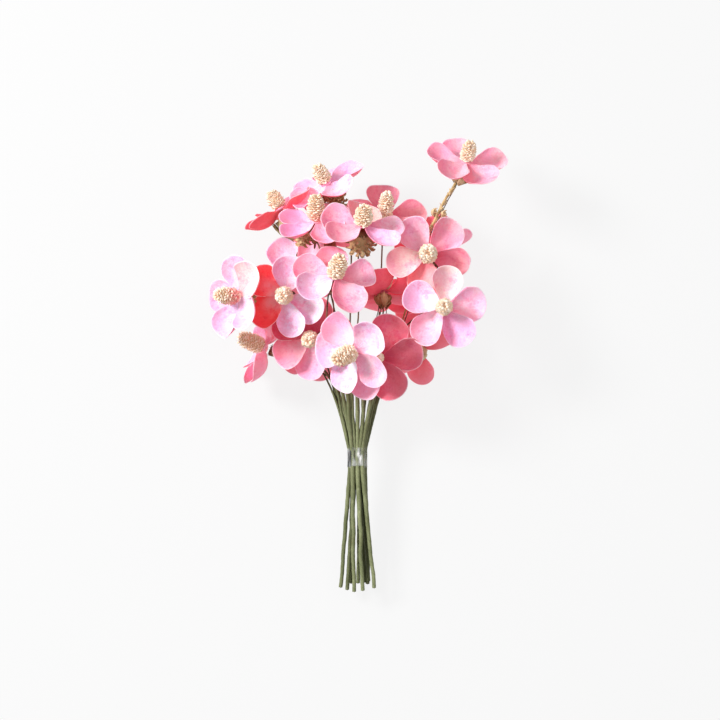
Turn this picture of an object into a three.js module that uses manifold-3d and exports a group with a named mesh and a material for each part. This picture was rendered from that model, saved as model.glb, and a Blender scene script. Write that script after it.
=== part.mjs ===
// A tied bunch of dried, dyed moth orchid flowers, lying on its back on a table.
//
// Each flower has five stiff, spoon-shaped petals round a pale spindle of dried scales, and a ribbed
// cup of dried bracts behind them. A thin wire runs from each cup into one of ten green stalks. The
// stalks are held at a narrow waist by clear tape, fan out above it, and splay again to their cut ends.
//
// The bunch is laid out in its own frame, in millimetres: X to the right, Y up the bunch from the tape,
// Z out of its front. It is then tipped back onto the table, so that the part's own +Z points up.
import * as THREE from "three";
import { mergeVertices } from "three/addons/utils/BufferGeometryUtils.js";
import Module from "manifold-3d";

const wasm = await Module();
wasm.setup();

const LAID_TILT = 7.6; // degrees between the bunch's own Y and the table
const SEAT_GAP = 0.3; // between the pieces that touch in each flower

// One flower, measured from the middle of its ring of petals.
const PETALS = 5;
const PETAL_REACH = 43.5; // centre of the flower to a petal's tip
const PETAL_ROUND = 17.6; // radius of a petal's round end
const PETAL_ROUND_SPAN = 100; // degrees of the round end on each side of the tip
const PETAL_ROOT = 3.6; // where a petal starts, inside the hub
const PETAL_ROOT_HALF = 1.8; // half its width there
const PETAL_THICK = 0.9;
const PETAL_CUP = 0.017; // rise of a petal's edge over the square of its distance from the midline
const PETAL_TWIST = 7; // degrees, so that one edge laps over the next petal
const PETAL_CURL = 16; // degrees that a petal falls more steeply at its root than at its tip
const HUB = { radius: 5.6, top: 1.0, bottom: -1.3 };

// The spindle of scales: height over its seat, and radius.
const SPINDLE_PROFILE = [[0, 5.4], [3.5, 8.6], [9, 9.2], [15, 8.0], [20.5, 5.6], [24, 2.4]];
const SPINDLE_COLUMNS = 10;
const SCALE_RELIEF = 0.1; // part of the radius by which scales stand out and the gaps sink in

// The cup of bracts: depth under its seat, radius, and how far its ribs stand out.
const CUP_PROFILE = [[0, 4.4, 0], [5.5, 9.0, 1.1], [13, 7.4, 0.9], [24, 1.9, 0]];
const CUP_SIDES = 8;

const WIRE = { radius: 1.1, sides: 5, steps: 9, lead: 7 };
const STALK = { radius: 2.2, cut: 1.8, tip: 1.5, sides: 7, pitch: 4.8, row: 4.2 };

// The stalks' path: straight through the tape, then out to both ends.
const WAIST_HALF = 12;
const FORK = { y: 78, spread: 3.6 };

const TAPE = { half: 10.5, thick: 0.6, slant: 1.5, sides: 24 };

// Each flower's centre in the bunch's frame, and how it faces: lean is the angle between its axis and the
// bunch's Z, toward is the direction of that lean, counted from X to Y, and turns are the directions of
// its petals. droop is the slope of the petals from hub to tip, and tall the spindle's relative height.
const FLOWERS = {
  a: { at: [108, 293, 19], lean: 57, toward: 79, turns: [16, 98, 153, 223, 305], droop: 0, size: 0.95, tall: 0.86 },
  b: { at: [-31, 271, 5], lean: 67, toward: 119, turns: [38, 105, 162, 205, 318], droop: -3, size: 0.93, tall: 0.86 },
  c: { at: [-77, 241, -10], lean: 100, toward: 112, turns: [55, 131, 202, 280, 341], droop: -3, size: 0.93, tall: 0.8 },
  d: { at: [-40, 233, 26], lean: 58, toward: 92, turns: [36, 86, 165, 223, 291], droop: -3, size: 0.95, tall: 1.08 },
  e: { at: [5, 228, 56], lean: 56, toward: 82, turns: [5, 89, 158, 219, 306], droop: 4, size: 0.97, tall: 0.9 },
  f: { at: [27, 239, 0], lean: 40, toward: 84, turns: [13, 94, 165, 238, 310], droop: -2, size: 0.94, tall: 1.1 },
  g: { at: [69, 199, 41], lean: 5, toward: 120, turns: [47, 125, 201, 258, 348], droop: -4, size: 0.95, tall: 1 },
  h: { at: [84, 147, 58], lean: 5, toward: 101, turns: [11, 81, 164, 234, 307], droop: -3, size: 0.98, tall: 1 },
  i: { at: [-22, 178, 67], lean: 42, toward: 72, turns: [9, 80, 157, 207, 289], droop: -6, size: 1, tall: 1.12 },
  j: { at: [-71, 159, 39], lean: 4, toward: 152, turns: [79, 144, 226, 282, 335], droop: -3, size: 0.94, tall: 1 },
  k: { at: [-117, 158, 41], lean: 52, toward: 174, turns: [36, 107, 168, 241, 318], droop: 4, size: 0.97, tall: 1.04 },
  l: { at: [-92, 109, -4], lean: 80, toward: 165, turns: [110, 63, 283, 238, 184], droop: 2, size: 0.93, tall: 1.1 },
  m: { at: [-45, 118, 23], lean: 12, toward: 215, turns: [204, 268, 335, 78, 150], droop: -3, size: 0.98, tall: 0.9 },
  n: { at: [-5, 104, 67], lean: 37, toward: 204, turns: [37, 115, 183, 231, 319], droop: -1, size: 1, tall: 1.2 },
  o: { at: [-58, 182, -2], lean: 15, toward: 140, turns: [127, 67, 341, 268, 202], droop: -3, size: 0.95, tall: 0.9 },
  p: { at: [20, 99, 48], lean: 6, toward: 180, turns: [75, 6, 297, 252, 178], droop: -3, size: 1.02, tall: 0.9 },
  r: { at: [61, 107, -17], lean: 150, toward: 90, turns: [87, 339, 294, 231, 169], droop: -3, size: 0.95, tall: 0.9 },
  s: { at: [66, 161, -25], lean: 150, toward: 90, turns: [39, 120, 179, 251, 321], droop: -3, size: 0.95, tall: 0.9 },
  u: { at: [25, 164, 5], lean: 122, toward: 90, turns: [258, 335, 50, 119, 191], droop: -3, size: 0.95, tall: 0.9 },
  v: { at: [77, 207, -32], lean: 140, toward: 95, turns: [332, 50, 115, 194, 269], droop: -3, size: 0.95, tall: 0.9 },
  x: { at: [-32, 216, -25.4], lean: 125, toward: 100, turns: [27, 95, 174, 241, 316], droop: -3, size: 0.95, tall: 0.9 },
  y: { at: [-44, 115, -26], lean: 155, toward: 170, turns: [16, 86, 160, 228, 304], droop: -3, size: 0.95, tall: 0.9 },
};

// The ten stalks: the place of each in the waist, in columns to the right and rows to the front, its cut
// end, and the flowers on its wires, with the points that a wire bends through on its way.
const STALKS = [
  { place: [-1, 1], end: [-3.6, -133.5, 10.5], wires: { j: [[-46, 139, 16], [-53, 158, 27]], m: [[-25, 112, -1]] } },
  { place: [0, 1], end: [5, -132.5, 9], wires: { n: [[-19, 88, 33]], i: [[-28, 122, 46]] } },
  { place: [1, 1], end: [16.6, -130, 7], wires: { h: [[51, 116, 36]], g: [[52, 99, 30]], p: [[18, 84, -2]] } },
  { place: [-1.5, 0], end: [-16.9, -129.6, 3], wires: { l: [], k: [[-47, 103, 0]], c: [[-50, 206, 27]] } },
  { place: [-0.5, 0], end: [-10.4, -132, 3.5], wires: { d: [[-39, 211, 28]], o: [[-32, 149, -7]], b: [[-7, 226, 25]] } },
  { place: [0.5, 0], end: [0.6, -125.6, 1], wires: { e: [[22, 123, 37]], f: [[20, 126, -25]] } },
  {
    place: [1.5, 0], end: [11.2, -124, -1],
    wires: { a: [[51, 159, 30], [62, 207, 24], [76, 239, 19], [91, 262, 12]], r: [[56, 87, 0]] },
  },
  { place: [-1, -1], end: [-6.4, -126, -3], wires: { x: [], y: [[-20, 80, -23]] } },
  { place: [0, -1], end: [8.4, -125, -4.5], wires: { u: [[3, 87, 7]] } },
  { place: [1, -1], end: [10, -127, -14], wires: { v: [[108, 207, 22]], s: [[48, 130, 4]] } },
];

const rad = THREE.MathUtils.degToRad;

// A closed solid from a three.js geometry.
function solid(geometry) {
  const bare = new THREE.BufferGeometry().setAttribute("position", geometry.getAttribute("position"));
  bare.setIndex(geometry.index);
  const merged = mergeVertices(bare, 1e-4);
  const mesh = { numProp: 3, vertProperties: merged.attributes.position.array, triVerts: merged.index.array };
  return new wasm.Manifold(new wasm.Mesh(mesh));
}

function union(solids) {
  return solids.reduce((whole, next) => whole.add(next));
}

function geometryOf(body) {
  const { vertProperties, triVerts, numProp } = body.getMesh();
  const points = [];
  for (let i = 0; i < vertProperties.length; i += numProp) points.push(...vertProperties.slice(i, i + 3));
  return new THREE.BufferGeometry()
    .setAttribute("position", new THREE.Float32BufferAttribute(points, 3))
    .setIndex([...triVerts]);
}

// A closed surface from rings of points, each ring joined to the next and the two end rings filled.
function ringSolid(rings) {
  const points = rings.flat();
  const sides = rings[0].length;
  const triangles = [];
  for (let r = 0; r + 1 < rings.length; r++)
    for (let k = 0; k < sides; k++) {
      const next = (k + 1) % sides;
      const [a, b] = [r * sides + k, r * sides + next];
      triangles.push(a, b, b + sides, a, b + sides, a + sides);
    }
  const last = (rings.length - 1) * sides;
  for (let k = 1; k + 1 < sides; k++) {
    triangles.push(0, k + 1, k);
    triangles.push(last, last + k, last + k + 1);
  }
  return solid(new THREE.BufferGeometry().setFromPoints(points).setIndex(triangles));
}

// A round bar along a path of points, with a radius at each.
function bar(path, radii, sides) {
  const rings = path.map((point, i) => {
    const ahead = path[Math.min(i + 1, path.length - 1)].clone().sub(path[Math.max(i - 1, 0)]).normalize();
    const right = new THREE.Vector3(0, 0, 1).cross(ahead).normalize();
    const front = ahead.clone().cross(right);
    return Array.from({ length: sides }, (_, k) => {
      const angle = (k / sides) * 2 * Math.PI;
      return point.clone()
        .addScaledVector(right, radii[i] * Math.cos(angle))
        .addScaledVector(front, radii[i] * Math.sin(angle));
    });
  });
  return ringSolid(rings);
}

// A flower's own frame: Z along its axis, turned there from the bunch's Z by the shortest way.
function frameOf(flower) {
  const toward = rad(flower.toward);
  const hinge = new THREE.Vector3(-Math.sin(toward), Math.cos(toward), 0);
  return new THREE.Matrix4().makeRotationAxis(hinge, rad(flower.lean)).setPosition(...flower.at);
}

function placed(body, matrix) {
  return body.transform(matrix.elements);
}

// A point of a petal's middle surface over its flat outline: x out from the flower's centre, y across.
function petalPoint(x, y, droop) {
  const run = x - PETAL_ROOT;
  const share = run / (PETAL_REACH - PETAL_ROOT);
  const slope = rad(droop - PETAL_CURL * (1 - share));
  const rise = PETAL_CUP * y * y + y * Math.sin(rad(PETAL_TWIST));
  return new THREE.Vector3(
    PETAL_ROOT + run * Math.cos(slope) - rise * Math.sin(slope),
    y,
    run * Math.sin(slope) + rise * Math.cos(slope),
  );
}

function petalNormal(x, y, droop) {
  const step = 0.05;
  const out = petalPoint(x + step, y, droop).sub(petalPoint(x - step, y, droop));
  const across = petalPoint(x, y + step, droop).sub(petalPoint(x, y - step, droop));
  return out.cross(across).normalize();
}

// How many facets cross a petal at its root, at its middle and round its tip.
const PETAL_FACETS = [1, 3, 5];

// The same rows of points on both faces of a petal: side runs from -1 to 1 across each row.
function petalRows(droop, face) {
  const centre = PETAL_REACH - PETAL_ROUND;
  return PETAL_FACETS.map((facets, row) =>
    Array.from({ length: facets + 1 }, (_, i) => {
      const side = (2 * i) / facets - 1;
      const out = row / (PETAL_FACETS.length - 1);
      const angle = side * rad(PETAL_ROUND_SPAN);
      const x = THREE.MathUtils.lerp(PETAL_ROOT, centre + PETAL_ROUND * Math.cos(angle), out);
      const y = THREE.MathUtils.lerp(side * PETAL_ROOT_HALF, PETAL_ROUND * Math.sin(angle), out);
      return petalPoint(x, y, droop).addScaledVector(petalNormal(x, y, droop), (face * PETAL_THICK) / 2);
    }));
}

// One petal along X: a thin blade from its narrow root to its round end, split alike on both faces.
function petal(droop) {
  const points = [...petalRows(droop, 1), ...petalRows(droop, -1)].flat();
  const count = points.length / 2;
  const triangles = [];
  const bothFaces = (a, b, c) => triangles.push(a, b, c, a + count, c + count, b + count);
  const edge = (a, b) => triangles.push(a, a + count, b + count, a, b + count, b);
  let start = 0;
  PETAL_FACETS.slice(1).forEach((outer, row) => {
    const inner = PETAL_FACETS[row];
    const next = start + inner + 1;
    for (let i = 0, j = 0; i < inner || j < outer; ) {
      const outerFirst = i === inner || (j < outer && (j + 1) / outer <= (i + 1) / inner);
      if (outerFirst) bothFaces(start + i, next + j, next + ++j);
      else bothFaces(start + i, next + j, start + ++i);
    }
    edge(start, next);
    edge(next + outer, start + inner);
    start = next;
  });
  edge(PETAL_FACETS[0], 0);
  for (let j = 0; j < PETAL_FACETS.at(-1); j++) edge(start + j, start + j + 1);
  return solid(new THREE.BufferGeometry().setFromPoints(points).setIndex(triangles));
}

// The five petals, with their roots sunk into a small hub.
function petalRing(flower) {
  const hub = new THREE.CylinderGeometry(HUB.radius, HUB.radius, HUB.top - HUB.bottom, PETALS * 2)
    .rotateX(Math.PI / 2)
    .translate(0, 0, (HUB.top + HUB.bottom) / 2);
  const { size } = flower;
  const blades = flower.turns.map((turn) => {
    const turned = new THREE.Matrix4().makeRotationZ(rad(turn)).scale(new THREE.Vector3(size, size, size));
    return placed(petal(flower.droop), turned);
  });
  return placed(union([solid(hub), ...blades]), frameOf(flower));
}

// The spindle of scales: every other point of its surface stands out, and the rest sink in.
function spindle(flower) {
  const seat = HUB.top + SEAT_GAP;
  const rings = SPINDLE_PROFILE.map(([height, radius], row) =>
    Array.from({ length: SPINDLE_COLUMNS }, (_, k) => {
      const angle = ((k + row / 2) / SPINDLE_COLUMNS) * 2 * Math.PI;
      const r = radius * (1 + (k % 2 ? SCALE_RELIEF : -SCALE_RELIEF));
      return new THREE.Vector3(r * Math.cos(angle), r * Math.sin(angle), seat + height * flower.tall);
    }));
  return placed(ringSolid(rings), frameOf(flower));
}

// The ribbed cup of bracts behind the petals, narrowing onto the wire.
function bractCup(flower) {
  const seat = HUB.bottom - SEAT_GAP;
  const rings = CUP_PROFILE.map(([depth, radius, rib]) =>
    Array.from({ length: CUP_SIDES }, (_, k) => {
      const angle = (-k / CUP_SIDES) * 2 * Math.PI;
      const r = radius + (k % 2 ? rib : -rib);
      return new THREE.Vector3(r * Math.cos(angle), r * Math.sin(angle), seat - depth);
    }));
  return placed(ringSolid(rings), frameOf(flower));
}

// Where a stalk passes, in columns and rows of the bundle, spread out from the bundle's middle.
function stalkPoint([column, row], y, spread) {
  return new THREE.Vector3(column * STALK.pitch * spread, y, row * STALK.row * spread);
}

function stalkPath({ place, end }) {
  return [
    new THREE.Vector3(...end),
    stalkPoint(place, -WAIST_HALF, 1),
    stalkPoint(place, WAIST_HALF, 1),
    stalkPoint(place, FORK.y, FORK.spread),
  ];
}

// One wire, from inside the top of its stalk, through its bends, into the narrow end of the cup.
function wire(flower, path, bends) {
  const frame = frameOf(flower);
  const cupDepth = SEAT_GAP - HUB.bottom + CUP_PROFILE.at(-1)[0];
  const inCup = new THREE.Vector3(0, 0, 2 - cupDepth).applyMatrix4(frame);
  const lead = new THREE.Vector3(0, 0, -cupDepth - WIRE.lead).applyMatrix4(frame);
  const fork = path.at(-1);
  const start = fork.clone().lerp(path.at(-2), 0.06);
  const bendPoints = bends.map((bend) => new THREE.Vector3(...bend));
  const curve = new THREE.CatmullRomCurve3([start, fork, ...bendPoints, lead, inCup], false, "centripetal");
  const points = curve.getSpacedPoints(WIRE.steps);
  return bar(points, points.map(() => WIRE.radius), WIRE.sides);
}

// A stalk with its wires and the cups that they end in, grown together.
function stalkWithCups(stalk) {
  const path = stalkPath(stalk);
  const radii = [STALK.cut, STALK.radius, STALK.radius, STALK.tip];
  const pieces = [bar(path, radii, STALK.sides)];
  for (const [letter, bends] of Object.entries(stalk.wires)) {
    const flower = FLOWERS[letter];
    pieces.push(wire(flower, path, bends), bractCup(flower));
  }
  return union(pieces);
}

// The wound tape: an outline drawn round the outer stalks, with an inner one a tape's thickness in.
function tape() {
  const places = STALKS.map(({ place: [column, row] }) => [column * STALK.pitch, row * STALK.row]);
  const outline = (clear, y, slant) =>
    Array.from({ length: TAPE.sides }, (_, k) => {
      const angle = (k / TAPE.sides) * 2 * Math.PI;
      const [cos, sin] = [Math.cos(angle), Math.sin(angle)];
      const reach = ([x, z]) => x * cos + z * sin;
      const corner = places.reduce((best, next) => (reach(next) > reach(best) ? next : best));
      const x = corner[0] + (STALK.radius + clear) * cos;
      return new THREE.Vector3(x, y + slant * (x / 10), -(corner[1] + (STALK.radius + clear) * sin));
    });
  const outer = [outline(SEAT_GAP + TAPE.thick, -TAPE.half, TAPE.slant), outline(SEAT_GAP + TAPE.thick, TAPE.half, 0)];
  const inner = [outline(SEAT_GAP, -2 * TAPE.half, 0), outline(SEAT_GAP, 2 * TAPE.half, 0)];
  return ringSolid(outer).subtract(ringSolid(inner));
}

const petalColour = new THREE.MeshStandardMaterial({ color: "#e58aa4", roughness: 0.7 });
const scaleColour = new THREE.MeshStandardMaterial({ color: "#e9cfa4", roughness: 0.9 });
const stalkColour = new THREE.MeshStandardMaterial({ color: "#7d8456", roughness: 0.8 });
const tapeColour = new THREE.MeshStandardMaterial({ color: "#dfe3e6", roughness: 0.25 });

const bunch = new THREE.Group();
bunch.name = "bunch";
bunch.rotation.x = rad(LAID_TILT);

function add(name, body, material) {
  const mesh = new THREE.Mesh(geometryOf(body), material);
  mesh.name = name;
  bunch.add(mesh);
}

for (const [letter, flower] of Object.entries(FLOWERS)) {
  add(`flower_${letter}_petals`, petalRing(flower), petalColour);
  add(`flower_${letter}_spindle`, spindle(flower), scaleColour);
}
STALKS.forEach((stalk, i) => add(`stalk_${i + 1}_with_cups`, stalkWithCups(stalk), stalkColour));
add("waist_tape", tape(), tapeColour);

// The bunch lies over the origin, with its lowest points at Z = 0.
const extent = new THREE.Box3().setFromObject(bunch, true);
const middle = extent.getCenter(new THREE.Vector3());
bunch.position.set(-middle.x, -middle.y, -extent.min.z);

const part = new THREE.Group();
part.add(bunch);
export default part;
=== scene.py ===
import math

import bpy
import numpy as np
from mathutils import Matrix, Vector, noise


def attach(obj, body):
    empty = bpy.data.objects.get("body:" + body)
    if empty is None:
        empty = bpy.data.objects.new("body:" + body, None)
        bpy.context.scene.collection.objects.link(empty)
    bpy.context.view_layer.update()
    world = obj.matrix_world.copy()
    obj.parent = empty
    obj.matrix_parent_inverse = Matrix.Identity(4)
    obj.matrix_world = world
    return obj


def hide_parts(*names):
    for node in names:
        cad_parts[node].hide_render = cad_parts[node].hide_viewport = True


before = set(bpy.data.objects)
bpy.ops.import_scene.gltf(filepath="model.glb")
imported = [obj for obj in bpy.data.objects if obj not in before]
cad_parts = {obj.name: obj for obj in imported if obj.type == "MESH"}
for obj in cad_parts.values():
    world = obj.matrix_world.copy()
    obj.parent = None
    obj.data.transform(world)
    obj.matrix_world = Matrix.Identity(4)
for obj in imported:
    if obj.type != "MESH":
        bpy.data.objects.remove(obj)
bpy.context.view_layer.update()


# Petals
# Every flower has five stiff, papery petals, dyed by hand. Each is dished like a spoon and has a thin pale
# rim, and their narrow roots are glued round a small hub. They are worked out in millimetres in the bunch's
# own frame, with X to the right, Y up the bunch from its tape and Z out of its front.

# From the bunch's frame to the table, where it rests on its rear petals and the ends of its stalks.
LAID = (
    Matrix.Translation((-0.000795, -0.090892, 0.032444))
    @ Matrix.Rotation(math.radians(7.6), 4, "X")
    @ Matrix.Scale(0.001, 4)
)

# The dyes, each with its colour on a petal's broad end and near the petal's root. The red and the deep
# crimson are painted shadow and shade, not dye.
DYES = {
    "pearl": ("#e0b8d0", "#e6c8da"),
    "white": ("#eec4dc", "#f0d6e5"),
    "lilac": ("#edbcd6", "#f0cfe0"),
    "cream": ("#f2c0c4", "#f3cdcd"),
    "pink": ("#f3acc4", "#f4c0d0"),
    "orchid": ("#eba8c8", "#edb6ce"),
    "rose": ("#f29eb2", "#f2aabc"),
    "plum": ("#eaa0b6", "#e294a8"),
    "salmon": ("#f09ea0", "#f0a6a8"),
    "madder": ("#e58798", "#d97a8c"),
    "coral": ("#ec6c74", "#e8747e"),
    # The red is a painted shadow: deep red over the petal's end, fading to pink at its root.
    "red": ("#f2484e", "#f4a0a8"),
    # The deep crimson is painted shade: the colour of petals that lie in shadow deep in the bunch.
    "crimson": ("#da6c80", "#c85c70"),
}

# at, lean and toward give each flower's centre and the way it faces, droop its petals' slope, size their
# scale and tall its spindle's height. turns, dyes and broad give each petal's direction, dye and breadth.
# What a flower doesn't say is as on the plain one.
PLAIN_FLOWER = dict(droop=-3, size=0.95, tall=0.9, broad=(1, 1, 1, 1, 1))
FLOWERS = {
    "a": dict(at=(106.8, 291.4, 19), lean=57, toward=79, droop=0, tall=0.86,
              turns=(13, 105, 162, 236, 301), dyes="rose rose plum rose rose",
              broad=(0.86, 0.8, 0.7, 0.98, 0.95)),
    "b": dict(at=(-31, 271, 5), lean=67, toward=119, droop=-8, size=0.93, tall=0.76,
              turns=(45, 105, 186, 231, 318), dyes="orchid pink pink pink pink"),
    "c": dict(at=(-76, 246, -10), lean=92, toward=121, droop=1, size=0.93, tall=0.72,
              turns=(65, 140, 210, 246, 354), dyes="rose coral coral coral coral",
              broad=(1, 1, 0.62, 0.8, 0.8)),
    "d": dict(at=(-40, 233.5, 26), lean=58, toward=92, droop=-5, tall=1.08,
              turns=(36, 86, 148, 218, 292), dyes="pink rose orchid orchid pink",
              broad=(1, 0.9, 0.86, 0.62, 1)),
    "e": dict(at=(5, 228, 56), lean=56, toward=82, size=0.97, tall=0.8,
              turns=(10, 80, 165, 218, 320), dyes="plum salmon plum rose orchid",
              broad=(0.7, 1, 0.9, 0.9, 0.72)),
    "f": dict(at=(27, 239, 0), lean=40, toward=84, droop=-2, size=0.94, tall=1.3,
              turns=(6, 94, 165, 238, 310), dyes="madder madder rose madder madder"),
    "g": dict(at=(69, 199, 41), lean=5, toward=120, droop=-4, size=0.98, tall=1,
              turns=(47, 125, 197, 258, 345), dyes="rose plum cream salmon madder",
              broad=(0.9, 0.95, 0.92, 1, 0.84)),
    "h": dict(at=(84, 147, 58), lean=5, toward=101, size=0.98, tall=1,
              turns=(5, 81, 157, 231, 300), dyes="pink cream lilac pink orchid",
              broad=(0.95, 0.9, 0.95, 0.95, 0.9)),
    "i": dict(at=(-22, 178, 67), lean=42, toward=72, droop=-9, size=1, tall=1.12,
              turns=(14, 88, 152, 214, 299), dyes="plum rose rose lilac rose",
              broad=(0.88, 0.9, 0.82, 0.9, 0.95)),
    # j's two left petals take the red, a painted shadow where k's petals lie over them.
    "j": dict(at=(-71, 159, 39), lean=4, toward=152, size=0.94, tall=1,
              turns=(79, 144, 219, 281, 332), dyes="lilac red red white white",
              broad=(1, 1, 0.95, 0.8, 0.95)),
    "k": dict(at=(-117, 158, 41), lean=52, toward=174, droop=4, size=0.97, tall=1.04,
              turns=(36, 101, 176, 241, 318), dyes="cream pearl pearl pearl pearl",
              broad=(1, 0.85, 0.9, 1, 1)),
    "l": dict(at=(-92, 109, -4), lean=80, toward=157, droop=2, size=0.93, tall=1.1,
              turns=(110, 63, 283, 238, 184), dyes="pink rose lilac pink pink"),
    "m": dict(at=(-45, 118, 23), lean=12, toward=215, size=0.98,
              turns=(209, 264, 335, 78, 150), dyes="rose pink rose crimson crimson",
              broad=(0.9, 1, 1, 1, 1)),
    "n": dict(at=(-5, 104, 67), lean=37, toward=204, droop=-1, size=1, tall=1.2,
              turns=(33, 122, 174, 244, 320), dyes="lilac pink white white pink",
              broad=(1.06, 1, 0.96, 0.97, 0.95)),
    "o": dict(at=(-58, 182, -2), lean=15, toward=140,
              turns=(127, 67, 341, 268, 202), dyes="lilac pink rose pink pink",
              broad=(1, 0.75, 1, 1, 1)),
    "p": dict(at=(20, 99, 48), lean=6, toward=180, size=1.02, tall=0.32,
              turns=(66, 4, 297, 246, 178), dyes="crimson crimson crimson pink crimson",
              broad=(1, 0.88, 1, 0.84, 0.6)),
    "r": dict(at=(61, 107, -17), lean=150, toward=90,
              turns=(84, 320, 268, 212, 155), dyes="madder madder rose madder rose",
              broad=(0.82, 1, 1, 1, 1)),
    "s": dict(at=(66, 161, -25), lean=150, toward=90,
              turns=(39, 120, 179, 251, 321), dyes="pink madder crimson crimson rose"),
    "u": dict(at=(25, 164, 5), lean=118, toward=90, droop=5,
              turns=(258, 335, 50, 119, 191), dyes="crimson crimson rose rose crimson"),
    "v": dict(at=(77, 207, -32), lean=140, toward=95,
              turns=(338, 50, 115, 194, 269), dyes="white pink rose madder madder",
              broad=(0.6, 1, 1, 1, 1)),
    "x": dict(at=(-32, 216, -25.4), lean=125, toward=100,
              turns=(27, 95, 174, 241, 316), dyes="rose pink salmon rose pink"),
    "y": dict(at=(-44, 115, -26), lean=155, toward=170,
              turns=(16, 86, 160, 228, 304), dyes="rose crimson rose pink rose"),
}
FLOWERS = {letter: PLAIN_FLOWER | flower for letter, flower in FLOWERS.items()}


def facing(flower):
    """The flower's own frame, with Z along its axis, in the bunch's frame."""
    toward = math.radians(flower["toward"])
    hinge = Vector((-math.sin(toward), math.cos(toward), 0))
    return Matrix.Translation(flower["at"]) @ Matrix.Rotation(math.radians(flower["lean"]), 4, hinge)


def moved(points, matrix):
    matrix = np.array(matrix)
    return np.asarray(points, float) @ matrix[:3, :3].T + matrix[:3, 3]


def ease(low, high, x):
    """0 at low, 1 at high, and a smooth step between them."""
    t = np.clip((x - low) / (high - low), 0, 1)
    return t * t * (3 - 2 * t)


def placed(name, data):
    """A new object in the scene."""
    piece = bpy.data.objects.new(name, data)
    bpy.context.scene.collection.objects.link(piece)
    return piece


def new_object(name, points, faces, material=None, marks=None):
    """A smooth mesh object. Its marks are numbers or colours kept at its points, for its material to read."""
    mesh = bpy.data.meshes.new(name)
    mesh.from_pydata([tuple(p) for p in points], [], [tuple(map(int, face)) for face in faces])
    for mark, values in (marks or {}).items():
        values = np.asarray(values, np.float32)
        kind, channel = ("FLOAT", "value") if values.ndim == 1 else ("FLOAT_COLOR", "color")
        mesh.attributes.new(mark, kind, "POINT").data.foreach_set(channel, values.ravel())
    mesh.shade_smooth()
    if material:
        mesh.materials.append(material)
    return placed(name, mesh)


def thin_sheet(middle, half, **marks):
    """Points, faces and marks of a closed thin sheet round a grid of points, with a rounded rim."""
    normal = np.cross(np.gradient(middle, axis=0), np.gradient(middle, axis=1))
    normal /= np.linalg.norm(normal, axis=-1, keepdims=True)
    half = np.broadcast_to(half, middle.shape[:2])[..., None]
    front, back = (middle + normal * half).reshape(-1, 3), (middle - normal * half).reshape(-1, 3)
    count = len(front)
    index = np.arange(count).reshape(middle.shape[:2])
    faces = []
    for a, b, c, d in zip(index[:-1, :-1].flat, index[1:, :-1].flat, index[1:, 1:].flat, index[:-1, 1:].flat):
        faces += [(a, b, c, d), (d + count, c + count, b + count, a + count)]
    border = np.concatenate([index[0], index[1:, -1], index[-1, -2::-1], index[-2:0:-1, 0]])
    ring = 2 * count + np.arange(len(border))
    for a, b, p, q in zip(border, np.roll(border, -1), ring, np.roll(ring, -1)):
        faces += [(a, b, q, p), (p, q, b + count, a + count)]
    rim = middle.reshape(-1, 3)[border]
    outward = rim - rim.mean(0)
    rim = rim + outward / np.linalg.norm(outward, axis=1, keepdims=True) * half.reshape(-1, 1)[border] * 0.5
    values = {mark: np.broadcast_to(value, middle.shape[:2]).ravel() for mark, value in marks.items()}
    values = {mark: np.concatenate([value, value, value[border]]) for mark, value in values.items()}
    values["back"] = np.concatenate([np.zeros(count), np.ones(count), np.full(len(border), 0.3)])
    return np.vstack([front, back, rim]), faces, values


def rough(x, y, z):
    """Soft noise, about -1 to 1, at each of these places."""
    return np.vectorize(lambda *at: noise.noise(at))(x, y, z)


PETAL_REACH = 43.5
PETAL_ROUND = 17.6
PETAL_ROUND_SPAN = math.radians(100)
PETAL_ROOT = 3.6
PETAL_ROOT_HALF = 1.8
PETAL_THICK = 0.8
PETAL_CUP = 0.024
SPOON = 4.4
PETAL_TWIST = 7
PETAL_CURL = 16
PETAL_ROWS = 20
PETAL_COLUMNS = 23
LAP_OVER = 1.6
LAP_UNDER = 1.2
LAP_HOLLOW = 3.4
RIM_ROLL = 1.2
TIP_LIFT = 4
WAVE_HEIGHT = 1.2
WAVE_LENGTH = 13
# The width over which each flower turns from painted shade on its left to painted light on its right.
PAINTED_LIGHT_SPAN = 32
HUB_RADIUS = 5.6
HUB_TOP = 1.0
HUB_BOTTOM = -1.3
SETTLED = 0.003


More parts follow.
